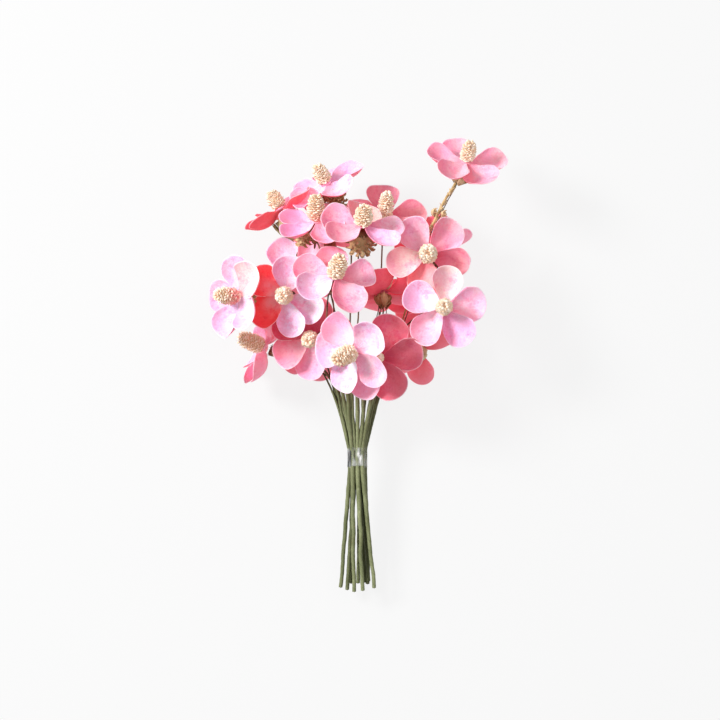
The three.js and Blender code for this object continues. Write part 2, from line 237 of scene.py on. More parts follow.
def petal(droop, seed, broad, twist, laps):
    """One petal along X. laps says how far each of its edges lies over its neighbour, or under, below 0."""
    out, side = np.meshgrid(
        np.linspace(0, 1, PETAL_ROWS) ** 0.8, np.linspace(-1, 1, PETAL_COLUMNS), indexing="ij"
    )
    wide, long, askew, dished, raised, curled = rough(seed, 3.1 * np.arange(6), 0.7)
    round_end = PETAL_ROUND * (1 + 0.1 * wide) * broad
    reach = PETAL_REACH * (1 + 0.05 * long)
    angle = side * PETAL_ROUND_SPAN
    blunt = np.sign(np.cos(angle)) * np.abs(np.cos(angle)) ** (0.8 - 0.3 * curled)
    round_end = round_end * (1 + 0.1 * rough(1.6 * np.cos(angle[0]), 1.6 * np.sin(angle[0]), seed))
    x = PETAL_ROOT + (reach - round_end + round_end * blunt - PETAL_ROOT) * out
    y = PETAL_ROOT_HALF * side * (1 - out) + round_end * np.sin(angle) * out
    y = y * (1 + 0.13 * np.sin(np.pi * out) * side**2) + 3.5 * askew * out**2
    edge = np.maximum(out, np.abs(side) ** 1.5 * ease(0.15, 0.6, out))
    over, under = 0, 0
    for lap, toward_edge in zip(laps, (-side, side)):
        over = over + max(lap, 0) * ease(0, 0.8, toward_edge)
        under = under + max(-lap, 0) * ease(0, 0.8, toward_edge)
    rise = PETAL_CUP * (1 + 0.7 * dished) * y * y * (1 - 0.9 * under) + y * math.sin(math.radians(twist))
    lapped = LAP_OVER * over - (LAP_UNDER + LAP_HOLLOW * np.sin(np.pi * out)) * under
    rolled = (RIM_ROLL + 1.6 * curled) * ease(0.72, 1.0, edge) * (1 - under)
    rise += lapped + rolled
    spooned = SPOON * (1 + 0.5 * dished) * np.sin(np.pi * out**0.9) * (1 - 0.6 * side**2)
    rise += TIP_LIFT * raised * ease(0.5, 1.0, out) - spooned
    rise += WAVE_HEIGHT * rough(x / WAVE_LENGTH, y / WAVE_LENGTH, seed) * ease(0.3, 0.9, out)
    run = x - PETAL_ROOT
    slope = np.radians(droop - PETAL_CURL * (1 - run / (PETAL_REACH - PETAL_ROOT)))
    along = PETAL_ROOT + run * np.cos(slope) - rise * np.sin(slope)
    upward = run * np.sin(slope) + rise * np.cos(slope)
    middle = np.stack([along, y, upward], -1)
    half = PETAL_THICK / 2 * (0.45 + 0.55 * np.sqrt(1 - ease(0.86, 1.0, edge)))
    return thin_sheet(middle, half, out=out, side=side, rim=edge)


def lathe(rings, sides):
    """Points and faces of a closed surface round Z, from its rings' radii and heights, top first."""
    turn = np.arange(sides) * 2 * np.pi / sides
    points = [(r * np.cos(a), r * np.sin(a), z) for r, z in rings for a in turn]
    faces = [list(range(sides)), list(range(len(points) - 1, len(points) - sides - 1, -1))]
    for ring in range(len(rings) - 1):
        for k in range(sides):
            a, b = ring * sides + k, ring * sides + (k + 1) % sides
            faces.append([a, a + sides, b + sides, b])
    return np.array(points), faces


def hub():
    """The small round disc that the petals' roots are glued into."""
    face = HUB_RADIUS * 0.8
    rings = [(0.1, HUB_TOP), (face, HUB_TOP), (HUB_RADIUS, HUB_TOP - 0.4)]
    rings += [(HUB_RADIUS, HUB_BOTTOM + 0.4), (face, HUB_BOTTOM), (0.1, HUB_BOTTOM)]
    return lathe(rings, 20)


def lay(piece, matrix):
    """Puts a piece made in millimetres where it lies on the table, in metres."""
    points = np.empty(len(piece.data.vertices) * 3, np.float32)
    piece.data.vertices.foreach_get("co", points)
    points = settled(moved(points.reshape(-1, 3), matrix)).astype(np.float32)
    piece.data.vertices.foreach_set("co", points.ravel())
    piece.data.update()


def settled(points):
    """Points of the part, in metres, with what would sink into the table pressed flat on it."""
    low = points[:, 2] < SETTLED
    points[low, 2] = SETTLED * np.exp((points[low, 2] - SETTLED) / SETTLED)
    return points


class Term:
    """A number, vector or colour in a node tree. An expression on Terms adds its own nodes."""

    def __init__(self, maker, socket):
        self.maker, self.socket = maker, socket

    def combined(self, operation, first, second=None):
        terms = [t for t in (first, second) if isinstance(t, Term)]
        manifold = any(t.socket.type in ("VECTOR", "RGBA") for t in terms) or isinstance(second, tuple)
        kind = "ShaderNodeVectorMath" if manifold else "ShaderNodeMath"
        if manifold:
            first, second = ((t,) * 3 if isinstance(t, (int, float)) else t for t in (first, second))
        sockets = {0: first} if second is None else {0: first, 1: second}
        return self.maker.add(kind, {"operation": operation}, sockets)

    def operator(operation, reflected=False):
        def method(self, other):
            first, second = (other, self) if reflected else (self, other)
            return self.combined(operation, first, second)

        return method

    __add__ = __radd__ = operator("ADD")
    __sub__, __rsub__ = operator("SUBTRACT"), operator("SUBTRACT", reflected=True)
    __mul__ = __rmul__ = operator("MULTIPLY")
    __truediv__, __pow__ = operator("DIVIDE"), operator("POWER")

    def wave(self):
        return self.combined("SINE", self)

    def fraction(self):
        return self.combined("FRACT", self)

    def size(self):
        return self.combined("ABSOLUTE", self)

    def between(self, low, high):
        """0 below low, 1 above high, and a smooth step between them."""
        sockets = {"Value": self, "From Min": low, "From Max": high}
        return self.maker.add("ShaderNodeMapRange", {"interpolation_type": "SMOOTHSTEP"}, sockets)

    def tint(self, without, within):
        """One colour where this mask is 0, and the other where it is 1."""
        sockets = {"Factor": self, "A": without, "B": within}
        return self.maker.add("ShaderNodeMix", {"data_type": "RGBA"}, sockets)

    def washed(self, mask, shares):
        """This colour with its red, green and blue taken to these shares where the mask is 1."""
        return mask.tint(self, self * shares)

    def sibling(self, name):
        """Another output of the same node."""
        return Term(self.maker, self.socket.node.outputs[name])


class Maker:
    """Adds nodes to one tree, a material's or a Geometry Nodes group's."""

    def __init__(self, tree):
        self.tree = tree

    def add(self, kind, settings=None, sockets=None, out=None, stops=None, captured=None):
        """A node with its settings, a ramp's stops or the number it captures, and its sockets filled."""
        node = self.tree.nodes.new(kind)
        for name, value in (settings or {}).items():
            setattr(node, name, value)
        if captured:
            node.capture_items.new("FLOAT", captured)
        if stops:
            ramp = node.color_ramp
            while len(ramp.elements) < len(stops):
                ramp.elements.new(0.5)
            for element, (place, colour) in zip(ramp.elements, stops):
                element.position, element.color = place, colour
        for name, value in (sockets or {}).items():
            if isinstance(name, int):
                socket = node.inputs[name]
            else:
                socket = next(s for s in node.inputs if s.name == name and s.enabled)
            for one in value if isinstance(value, list) else [value]:
                if isinstance(one, Term):
                    self.tree.links.new(one.socket, socket)
                else:
                    socket.default_value = one
        outputs = [s for s in node.outputs if s.enabled and (out is None or s.name == out)]
        return Term(self, outputs[0]) if outputs else node

    def mark(self, name, out="Fac"):
        """A number that the mesh keeps at its points, or a colour with out='Color'."""
        return self.add("ShaderNodeAttribute", {"attribute_name": name}, out=out)

    def grain(self, size_mm, detail=2, stretch=(1, 1, 1), roughness=0.5, at=None):
        """Soft random spots of about that size, from 0 to 1, fixed to the piece."""
        if at is None:
            at, size_mm = self.add("ShaderNodeTexCoord", out="Object"), size_mm / 1000
        at = self.add("ShaderNodeMapping", {}, {"Vector": at, "Scale": stretch})
        sockets = {"Vector": at, "Scale": 1 / size_mm, "Detail": detail, "Roughness": roughness}
        return self.add("ShaderNodeTexNoise", {}, sockets, out="Fac")


def dye(code):
    """A colour of the scene from its web code."""
    channels = [int(code[i : i + 2], 16) / 255 for i in (1, 3, 5)]
    return (*[c / 12.92 if c <= 0.04045 else ((c + 0.055) / 1.055) ** 2.4 for c in channels], 1.0)


def finish_of(name, **constants):
    """A material with its Maker and its main shader, whose unchanging values are set at once."""
    material = bpy.data.materials.new(name)
    material.use_nodes = True
    shader = material.node_tree.nodes["Principled BSDF"]
    for socket, value in constants.items():
        shader.inputs[socket.replace("_", " ")].default_value = value
    return material, Maker(material.node_tree), shader


def feed(maker, shader, bump=None, **looks):
    """Links what changes over the surface. bump is its height and the height's scale in metres."""
    for socket, term in looks.items():
        maker.tree.links.new(term.socket, shader.inputs[socket.replace("_", " ")])
    if bump:
        height, scale = bump
        normal = maker.add("ShaderNodeBump", {}, {"Height": height, "Distance": scale, "Strength": 1.0})
        maker.tree.links.new(normal.socket, shader.inputs["Normal"])


def dyed_petal():
    # The petals glow a little in their own colour: painted light that lifts their shade, as light through
    # thin petals would.
    material, maker, shader = finish_of(
        "dyed_petal", Subsurface_Weight=0.2, Subsurface_Radius=(1.0, 0.3, 0.3), Subsurface_Scale=0.003,
        Specular_IOR_Level=0.18, Emission_Strength=0.12,
    )
    out, side, rim, back, paled = (maker.mark(m) for m in ("out", "side", "rim", "back", "paled"))
    edge_dye, root_dye = maker.mark("edge_dye", "Color"), maker.mark("root_dye", "Color")
    clouds, wash = maker.grain(15, detail=3), maker.grain(5, detail=4, roughness=0.7)
    stain, tone = maker.grain(8, detail=3, roughness=0.6), maker.grain(24, detail=1)
    dyed = (out + (clouds - 0.5) * 0.6).between(0.15, 0.75).tint(root_dye, edge_dye)
    # Each petal is painted in shade, deeper, on its left and painted lit, paler, on its right, as if lit from
    # the left, and its dye ran and dried in clouds.
    paled = paled + (clouds - 0.5) * 0.8
    dyed = dyed.washed((1 - paled).between(0.45, 1.0), (0.96, 0.66, 0.72))
    dyed = dyed.washed(paled.between(0.45, 1.0) * 0.9, (1.04, 1.26, 1.16))
    dyed = dyed.washed((tone + wash * 0.3).between(0.6, 0.72) * 0.5, (0.96, 0.86, 1.06))
    dyed = dyed.washed((wash + clouds - 1.0).between(0.0, 0.3) * 0.85, (0.98, 0.62, 0.74))
    dyed = dyed.washed((1.0 - wash - clouds * 0.6 + 0.3).between(0.0, 0.4) * 0.6, (1.03, 1.3, 1.22))
    # Bruises lie in a band across the middle, painted shade darkens each root near the hub in streaks that
    # run up from it, and there are specks and veins.
    bruise = stain.between(0.56, 0.72) * (1 - (out - 0.55).size() * 2.2).between(0.0, 0.8)
    dyed = dyed.washed(bruise * 0.5, (0.84, 0.4, 0.66))
    root_shade_streaks = (side * 26 + wash * 9).wave() * 0.5 + 0.5
    dyed = dyed.washed((1 - out.between(0.12, 0.42)) * (root_shade_streaks * 0.4 + 0.3), (0.86, 0.5, 0.62))
    speck = maker.grain(1.5, detail=1).between(0.7, 0.74) * maker.grain(30, detail=0).between(0.42, 0.6)
    dyed = dyed.washed(speck * 0.5, (0.8, 0.3, 0.5))
    ribs = ((side * 44 + wash * 16).wave() * 0.5 + 0.5) ** 3.0
    veins = ribs * out.between(0.2, 0.7) * clouds.between(0.4, 0.6)
    dyed = dyed.washed(veins * 0.5, (1.05, 1.16, 1.12))
    # The back is a deeper red and the whole is finely mottled.
    dyed = (back * 0.7).tint(dyed, dyed * (0.45, 0.3, 0.3) + dye("#d4505c")[:3])
    mottle = maker.grain(2.2, detail=3, roughness=0.7)
    dyed = dyed.washed(mottle.between(0.5, 0.7), (1.02, 1.14, 1.1))
    dyed = dyed.washed((1 - mottle).between(0.5, 0.7) * 0.8, (0.97, 0.84, 0.88))
    # The rim is paler in patches: the petal's pale edge, with a painted highlight where its thickness catches
    # the light.
    rim = rim.between(0.975, 0.998) * wash.between(0.25, 0.5) * 0.95
    dyed = rim.tint(dyed, dyed * 0.5 + (0.5, 0.44, 0.47))
    fibre = maker.grain(0.7, detail=3)
    relief = fibre * 0.3 + veins * 0.12 + wash * 0.9
    # The colour also feeds the painted glow.
    feed(
        maker, shader, bump=(relief, 0.0004), Base_Color=dyed, Roughness=wash * 0.2 + 0.5,
        Emission_Color=dyed,
    )
    return material


def flower_of_petals(letter, flower):
    """Points, faces and marks of the five petals and their hub, in the flower's own frame."""
    points, faces, marks = [], [], {}
    turns, dyes = flower["turns"], flower["dyes"].split()
    opened = float(ease(20, 50, flower["lean"]) * ease(78, 64, flower["lean"]))
    across_lean = [math.sin(math.radians(turn - flower["toward"])) for turn in turns]
    twists = [PETAL_TWIST * (1 - opened - opened * sine) for sine in across_lean]
    order = sorted(range(5), key=lambda k: turns[k])
    laps = [[0, 0] for _ in turns]
    for here, after in zip(order, order[1:] + order[:1]):
        lap = float(ease(80, 66, (turns[after] - turns[here]) % 360))
        lap = -lap if twists[here] < 0 and twists[after] < 0 else lap
        laps[here][1], laps[after][0] = lap, -lap
    sheets = []
    for number, (turn, name, broad) in enumerate(zip(turns, dyes, flower["broad"])):
        seed = ord(letter) * 3.7 + number * 1.3
        blade, blade_faces, blade_marks = petal(flower["droop"], seed, broad, twists[number], laps[number])
        turned = Matrix.Rotation(math.radians(turn), 4, "Z")
        sheets.append((moved(blade * flower["size"], turned), blade_faces, blade_marks, name))
    hub_points, hub_faces = hub()
    middle_of = {mark: np.full(len(hub_points), 0.3) for mark in sheets[0][2]}
    sheets.append((hub_points, hub_faces, middle_of, dyes[0]))
    # Painted light and shade: every part is marked from 0 on the flower's left, to be painted in shade, to 1
    # on its right, to be painted lit.
    rightward = np.array(facing(flower).to_3x3())[0]
    for sheet_points, sheet_faces, sheet_marks, name in sheets:
        across = sheet_points @ rightward
        sheet_marks["paled"] = 0.5 + (across - (across.min() + across.max()) / 2) / PAINTED_LIGHT_SPAN
        start = sum(len(p) for p in points)
        faces += [[i + start for i in face] for face in sheet_faces]
        points.append(sheet_points)
        for mark, values in sheet_marks.items():
            marks.setdefault(mark, []).append(values)
        for mark, code in zip(("edge_dye", "root_dye"), DYES[name]):
            marks.setdefault(mark, []).append(np.tile(dye(code), (len(sheet_points), 1)))
    return np.vstack(points), faces, {mark: np.concatenate(values) for mark, values in marks.items()}


petal_finish = dyed_petal()
for letter, flower in FLOWERS.items():
    points, faces, marks = flower_of_petals(letter, flower)
    points = settled(moved(points, LAID @ facing(flower)))
    piece = new_object(f"petals_{letter}", points, faces, petal_finish, marks)
    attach(piece, "root")
    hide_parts(f"flower_{letter}_petals")


# Spindles
# The middle of every flower is a dried spindle of small cream scales. They lap up it in a spiral round a
# tan core and curl out at their tips, and the whole is glued to the hub.

SPINDLE_HEIGHT = 23.0
SPINDLE_CORE = 6.7
SPINDLE_SEAT = HUB_TOP + 0.3
SPINDLE_WIDEST = 0.36
SPINDLE_TAPER = 0.645
SCALES = 175
SCALE_LENGTH = 3.3
SCALE_HALF_WIDTH = 1.4
GOLDEN_TURN = math.pi * (3 - math.sqrt(5))

# How thick some spindles are against the usual, and how far the petals' dye has run up some.
GIRTHS = {
    "a": 0.7, "b": 0.84, "c": 0.8, "f": 0.76, "h": 0.86, "j": 0.93, "k": 0.94, "m": 0.85, "n": 1.04, "p": 0.5
}
STAINS = {"k": 0.9, "d": 0.55, "m": 0.3, "l": 0.35}
USUAL_STAIN = 0.12


def grid(rows, columns):
    """How far along and how far across each point of a blade's grid lies, from 0 to 1 and from -1 to 1."""
    return np.meshgrid(np.linspace(0, 1, rows), np.linspace(-1, 1, columns), indexing="ij")


def chip(name, middle, half, **marks):
    """One small blade, to be repeated, that keeps only these marks."""
    points, faces, values = thin_sheet(middle, half, **marks)
    return new_object(name, points, faces, marks={mark: values[mark] for mark in marks})


def one_scale():
    """A small chip that stands along Z from its root, dished, with its tip curled over towards -Y."""
    t, s = grid(5, 4)
    half_width = SCALE_HALF_WIDTH * (0.55 + 0.45 * np.sin(np.pi * (0.15 + 0.7 * t)))
    curl = 1.7 * t**2.2 - 0.5 * (1 - s * s) * np.sin(np.pi * t)
    middle = np.stack([half_width * s, -curl, SCALE_LENGTH * t - 0.8 * t * s * s], -1)
    return chip("scale", middle, 0.32 - 0.12 * t, tip=t)


def node_group(name, inputs):
    """A Geometry Nodes group with its Maker and its inputs as Terms, by name."""
    tree = bpy.data.node_groups.new(name, "GeometryNodeTree")
    tree.interface.new_socket(name="Geometry", in_out="INPUT", socket_type="NodeSocketGeometry")
    for label, kind in inputs.items():
        tree.interface.new_socket(name=label, in_out="INPUT", socket_type="NodeSocket" + kind)
    tree.interface.new_socket(name="Geometry", in_out="OUTPUT", socket_type="NodeSocketGeometry")
    maker = Maker(tree)
    entry = maker.add("NodeGroupInput").socket.node
    return tree, maker, {s.name: Term(maker, s) for s in entry.outputs if s.name}


def close_group(maker, shape, material):
    """Ends a group: instances made real, and given their material."""
    shape = maker.add("GeometryNodeRealizeInstances", {}, {"Geometry": shape})
    shape = maker.add("GeometryNodeSetMaterial", {}, {"Geometry": shape, "Material": material})
    maker.add("NodeGroupOutput", {}, {"Geometry": shape})


def chance(maker, low, high, seed):
    """A random number, or a random vector, for each point."""
    kind = "FLOAT_VECTOR" if isinstance(low, tuple) else "FLOAT"
    sockets = {"Min": low, "Max": high, "Seed": seed}
    return maker.add("FunctionNodeRandomValue", {"data_type": kind}, sockets, out="Value")


def kept(maker, shape, name, value, domain="INSTANCE"):
    """Keeps a number on each instance or point, as a mark."""
    settings = {"data_type": "FLOAT", "domain": domain}
    sockets = {"Geometry": shape, "Name": name, "Value": value}
    return maker.add("GeometryNodeStoreNamedAttribute", settings, sockets)


def vector(maker, x, y, z):
    return maker.add("ShaderNodeCombineXYZ", {}, {"X": x, "Y": y, "Z": z})


def turned_by(maker, rotation, angles):
    """A rotation turned further by these angles about its own axes."""
    further = maker.add("FunctionNodeEulerToRotation", {}, {"Euler": angles})
    sockets = {"Rotation": rotation, "Rotate By": further}
    return maker.add("FunctionNodeRotateRotation", {"rotation_space": "LOCAL"}, sockets)


def scattered(maker, shape, points, rotation, spread, seed):
    """Instances of a shape at these points, each with its own shade."""
    source = maker.add("GeometryNodeObjectInfo", {}, {"Object": shape}, out="Geometry")
    sockets = {"Points": points, "Instance": source, "Rotation": rotation, "Scale": spread}
    instances = maker.add("GeometryNodeInstanceOnPoints", {}, sockets)
    return kept(maker, instances, "shade", chance(maker, 0.0, 1.0, seed))


def grown(base, group, name, **values):
    """Runs a group on a base object with these inputs. Its result takes the base's place as a plain mesh."""
    modifier = base.modifiers.new(group.name, "NODES")
    modifier.node_group = group
    for socket in group.interface.items_tree:
        if socket.in_out == "INPUT" and socket.name in values:
            modifier[socket.identifier] = values[socket.name]
    base.update_tag()
    mesh = bpy.data.meshes.new_from_object(base.evaluated_get(bpy.context.evaluated_depsgraph_get()))
    base.modifiers.clear()
    bpy.data.objects.remove(base)
    mesh.shade_smooth()
    return placed(name, mesh)


def scale_group(scale, material):
    """Scales on a golden spiral up a core, each leaning further in towards the top."""
    inputs = {"Count": "Int", "Height": "Float", "Radius": "Float", "Stain": "Float", "Seed": "Int"}
    tree, maker, given = node_group("spiral_of_scales", inputs)
    line = maker.add("GeometryNodeMeshLine", {}, {"Count": given["Count"]})
    index = maker.add("GeometryNodeInputIndex")
    share = 1 - (1 - (index + 0.5) / given["Count"]) ** 0.8
    bulge = (1 - ((share - SPINDLE_WIDEST) / SPINDLE_TAPER) ** 2.0) ** 0.5
    reach = given["Radius"] * bulge
    turn = index * GOLDEN_TURN
    cosine, sine = (turn + math.pi / 2).wave(), turn.wave()
    spot = vector(maker, reach * cosine, reach * sine, share * given["Height"])
    points = maker.add("GeometryNodeSetPosition", {}, {"Geometry": line, "Position": spot})
    lift = share * 0.4 + 0.95
    level, upright = (lift + math.pi / 2).wave(), lift.wave()
    outward = vector(maker, cosine * level, sine * level, upright)
    beside = vector(maker, sine * -1.0, cosine, 0.0)
    align = "FunctionNodeAlignRotationToVector"
    aligned = maker.add(align, {"axis": "X"}, {"Vector": beside})
    aligned = maker.add(align, {"axis": "Z", "pivot_axis": "X"}, {"Rotation": aligned, "Vector": outward})
    wobble = chance(maker, (-0.3, -0.3, -0.6), (0.3, 0.3, 0.6), given["Seed"])
    aligned = turned_by(maker, aligned, wobble)
    spread = chance(maker, 0.8, 1.15, given["Seed"] + 7)
    scales = scattered(maker, scale, points, aligned, spread, given["Seed"] + 3)
    scales = kept(maker, scales, "stained", (1 - share) * given["Stain"])
    both = maker.add("GeometryNodeJoinGeometry", {}, {"Geometry": [given["Geometry"], scales]})
    close_group(maker, both, material)
    return tree


def core_of(rings, sides, **marks):
    """A round core with the same marks all over it."""
    points, faces = lathe(rings, sides)
    marks = {mark: np.full(len(points), value) for mark, value in marks.items()}
    return new_object("core", points, faces, marks=marks)


def scaly(name, group, height, radius, **inputs):
    """A round core with scales all over it."""
    shares = np.linspace(1.0, 0.0, 10)
    bulges = np.sqrt(np.maximum(1 - ((shares - SPINDLE_WIDEST) / SPINDLE_TAPER) ** 2, 0.01))
    core = core_of(list(zip(radius * bulges, shares * height)), 16, tip=0.0, across=0.0, shade=0.4)
    return grown(core, group, name, Height=height, Radius=radius - 0.3, **inputs)


def dried_scale():
    # The scales glow a little in their own colour: painted light that lifts their shade.
    material, maker, shader = finish_of(
        "dried_scale", Specular_IOR_Level=0.25, Subsurface_Weight=0.1, Subsurface_Radius=(1.0, 0.6, 0.35),
        Subsurface_Scale=0.001, Emission_Strength=0.1,
    )
    tip, shade, stained = maker.mark("tip"), maker.mark("shade"), maker.mark("stained")
    body = maker.grain(3, detail=2)
    pale = (shade * 0.6 + body * 0.5).between(0.2, 0.9).tint(dye("#ebcfb2"), dye("#f7ebdc"))
    coloured = (tip + (body - 0.5) * 0.4).between(0.05, 0.55).tint(dye("#dab090"), pale)
    singed = shade.between(0.86, 0.95) * tip.between(0.55, 1.0) * 0.6
    coloured = singed.tint(coloured, dye("#a87c4e"))
    coloured = (stained.between(0.25, 0.75) * body.between(0.3, 0.6)).tint(coloured, dye("#ee8d92"))
    fibre = maker.grain(0.5, detail=2)
    feed(
        maker, shader, bump=(fibre, 0.00015), Base_Color=coloured, Roughness=body * 0.2 + 0.62,
        Emission_Color=coloured,
    )
    return material


scale_finish = dried_scale()
scale_shape = one_scale()
spiral_of_scales = scale_group(scale_shape, scale_finish)
for letter, flower in FLOWERS.items():
    piece = scaly(
        f"spindle_{letter}", spiral_of_scales, SPINDLE_HEIGHT * flower["tall"],
        SPINDLE_CORE * GIRTHS.get(letter, 1), Count=SCALES, Stain=STAINS.get(letter, USUAL_STAIN),
        Seed=ord(letter),
    )
    lay(piece, LAID @ facing(flower) @ Matrix.Translation((0, 0, SPINDLE_SEAT)))
    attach(piece, "root")
    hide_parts(f"flower_{letter}_spindle")
bpy.data.objects.remove(scale_shape)


# Stalks
# Ten stalks, each a wire core wrapped in green crepe that is wound on in a slow spiral. They run straight
# through the waist of the bunch, fan out above it and splay again below it to ends cut off square.

STALK_RADIUS = 2.15
STALK_CUT_RADIUS = 1.8
STALK_TIP_RADIUS = 1.5
STALK_PITCH = 4.8
STALK_ROW = 4.2
WAIST_HALF = 12
FORK_Y = 78
FORK_SPREAD = 3.6
STALK_STEPS = 110
STALK_BEND = 9.0
KNUCKLES_FROM = -30
KNUCKLE_STEP = 5.3

# Each stalk's place in the waist, in columns to the right and rows to the front, its cut end, and the
# flowers on its wires with the points that each wire bends through.
STALKS = [
    ((-1, 1), (-3.6, -133.5, 10.5), {"j": [(-46, 139, 16), (-53, 158, 27)], "m": [(-25, 112, -1)]}),
    ((0, 1), (5, -132.5, 9), {"n": [(-19, 88, 33)], "i": [(-28, 122, 46)]}),
    ((1, 1), (16.6, -130, 7), {"h": [(51, 116, 36)], "g": [(52, 99, 30)], "p": [(18, 84, -2)]}),
    ((-1.5, 0), (-16.9, -129.6, 3), {"l": [], "k": [(-47, 103, 0)], "c": [(-45, 140, -22), (-60, 200, -14)]}),
    ((-0.5, 0), (-10.4, -132, 3.5), {"d": [(-39, 211, 28)], "o": [(-32, 149, -7)], "b": [(-7, 226, 25)]}),
    ((0.5, 0), (0.6, -125.6, 1), {"e": [(-6, 112, 30), (0, 131, 34)], "f": [(20, 126, -25)]}),
    ((1.5, 0), (11.2, -124, -1),
     {"a": [(51, 159, 30), (62, 207, 24), (76, 234, 17), (86, 254, 10)], "r": [(46, 88, -12)]}),
    ((-1, -1), (-6.4, -126, -3), {"x": [], "y": [(-20, 80, -23)]}),
    ((0, -1), (8.4, -125, -4.5), {"u": [(3, 87, 7)]}),
    ((1, -1), (10, -127, -14), {"v": [(52, 130, 0), (72, 172, 0)], "s": [(48, 130, 4)]}),
]


def stalk_point(place, y, spread):
    return Vector((place[0] * STALK_PITCH * spread, y, place[1] * STALK_ROW * spread))


def stalk_path(place, end):
    waist = [stalk_point(place, y, 1) for y in (-WAIST_HALF, WAIST_HALF)]
    return [Vector(end), *waist, stalk_point(place, FORK_Y, FORK_SPREAD)]


def even_steps(points, steps, reach=0.0, nearby=1):
    """Even steps along straight runs between the points, each the mean of nearby places up to reach away."""
    points = np.array([tuple(p) for p in points], float)
    travelled = np.concatenate([[0], np.cumsum(np.linalg.norm(np.diff(points, axis=0), axis=1))])
    even = np.linspace(0, travelled[-1], steps)
    near = np.clip(even[:, None] + np.linspace(-reach, reach, nearby), 0, travelled[-1])
    return np.stack([np.interp(near, travelled, points[:, k]).mean(1) for k in range(3)], -1)


def smooth_path(points, steps):
    """Even steps along a centripetal curve through the points."""
    points = [Vector(p) for p in points]
    ends = [points[0] * 2 - points[1], *points, points[-1] * 2 - points[-2]]
    dense = []
    for a, b, c, d in zip(ends, ends[1:], ends[2:], ends[3:]):
        knots = [0.0]
        for p, q in ((a, b), (b, c), (c, d)):
            knots.append(knots[-1] + max((q - p).length, 1e-6) ** 0.5)
        for t in np.linspace(knots[1], knots[2], 24, endpoint=False):
            between = lambda p, q, i, j: p.lerp(q, (t - knots[i]) / (knots[j] - knots[i]))
            ab, bc, cd = between(a, b, 0, 1), between(b, c, 1, 2), between(c, d, 2, 3)
            dense.append(between(between(ab, bc, 0, 2), between(bc, cd, 1, 3), 1, 2))
    return even_steps([*dense, points[-1]], steps)


def path_object(name, paths):
    """A curve object of open lines; each is (points, radii)."""
    curve = bpy.data.curves.new(name, "CURVE")
    curve.dimensions = "3D"
    for points, radii in paths:
        line = curve.splines.new("POLY")
        line.points.add(len(points) - 1)
        for slot, point, radius in zip(line.points, points, radii):
            slot.co, slot.radius = (*point, 1.0), radius
    return placed(name, curve)


def wound_group():
    """A round bar along each line, with the step of a wound strip running round it and a rough surface."""
    inputs = {"Sides": "Int", "Pitch": "Float", "Step": "Float", "Roughness": "Float", "Material": "Material"}
    tree, maker, given = node_group("wound_bar", inputs)
    capture = "GeometryNodeCaptureAttribute"
    length = maker.add("GeometryNodeSplineParameter", out="Length")
    sockets = {"Geometry": given["Geometry"], "Travelled": length}
    line = maker.add(capture, {}, sockets, captured="Travelled")
    ring = maker.add("GeometryNodeCurvePrimitiveCircle", {"mode": "RADIUS"}, {"Resolution": given["Sides"]})
    around = maker.add("GeometryNodeSplineParameter", out="Factor")
    ring = maker.add(capture, {}, {"Geometry": ring, "Around": around}, captured="Around")
    travelled, turned = line.sibling("Travelled"), ring.sibling("Around")
    radius = maker.add("GeometryNodeInputRadius")
    sockets = {"Curve": line, "Profile Curve": ring, "Scale": radius, "Fill Caps": True}
    bar_shape = maker.add("GeometryNodeCurveToMesh", {}, sockets)
    wrap = travelled / given["Pitch"] + turned
    ramp = wrap.fraction()
    step = (1 - ramp) * ramp.between(0.0, 0.12) * given["Step"]
    place = maker.add("GeometryNodeInputPosition")
    crinkle = maker.add("ShaderNodeTexNoise", {}, {"Vector": place, "Scale": 0.45, "Detail": 3.0}, out="Fac")
    outward = maker.add("GeometryNodeInputNormal")
    swell = step + (crinkle - 0.5) * given["Roughness"]
    offset = maker.add("ShaderNodeVectorMath", {"operation": "SCALE"}, {0: outward, "Scale": swell})
    shape = maker.add("GeometryNodeSetPosition", {}, {"Geometry": bar_shape, "Offset": offset})
    shape = kept(maker, shape, "wrap", wrap, "POINT")
    shape = kept(maker, shape, "travelled", travelled, "POINT")
    close_group(maker, shape, given["Material"])
    return tree


def green_crepe():
    material, maker, shader = finish_of("green_crepe", Specular_IOR_Level=0.25)
    wrap, travelled, deep = maker.mark("wrap"), maker.mark("travelled"), maker.mark("deep")
    clouds, fine = maker.grain(11, detail=3, stretch=(1, 0.4, 1)), maker.grain(1.0, detail=3)
    green = (clouds * 0.8 + fine * 0.3).between(0.3, 0.85).tint(dye("#6f7650"), dye("#9aa077"))
    overlap = wrap.fraction().between(0.0, 0.1)
    green = ((1 - overlap) * 0.45).tint(green, dye("#50563a"))
    worn = maker.grain(3, detail=2, stretch=(1, 0.35, 1)).between(0.63, 0.75) * 0.35
    green = worn.tint(green, dye("#b9ba95"))
    dusk = maker.grain(26, detail=2).between(0.5, 0.7) * 0.5
    green = dusk.tint(green, dye("#5f5f38"))
    # deep is painted shade: stalks in the back rows are darker, where less light reaches them.
    green = green.washed(deep, (0.42, 0.42, 0.36))
    creases = ((travelled * 5.0 + fine * 6.0).wave() * 0.5 + 0.5) * 0.5 + fine
    feed(maker, shader, bump=(creases, 0.00025), Base_Color=green, Roughness=fine * 0.25 + 0.5)
    return material


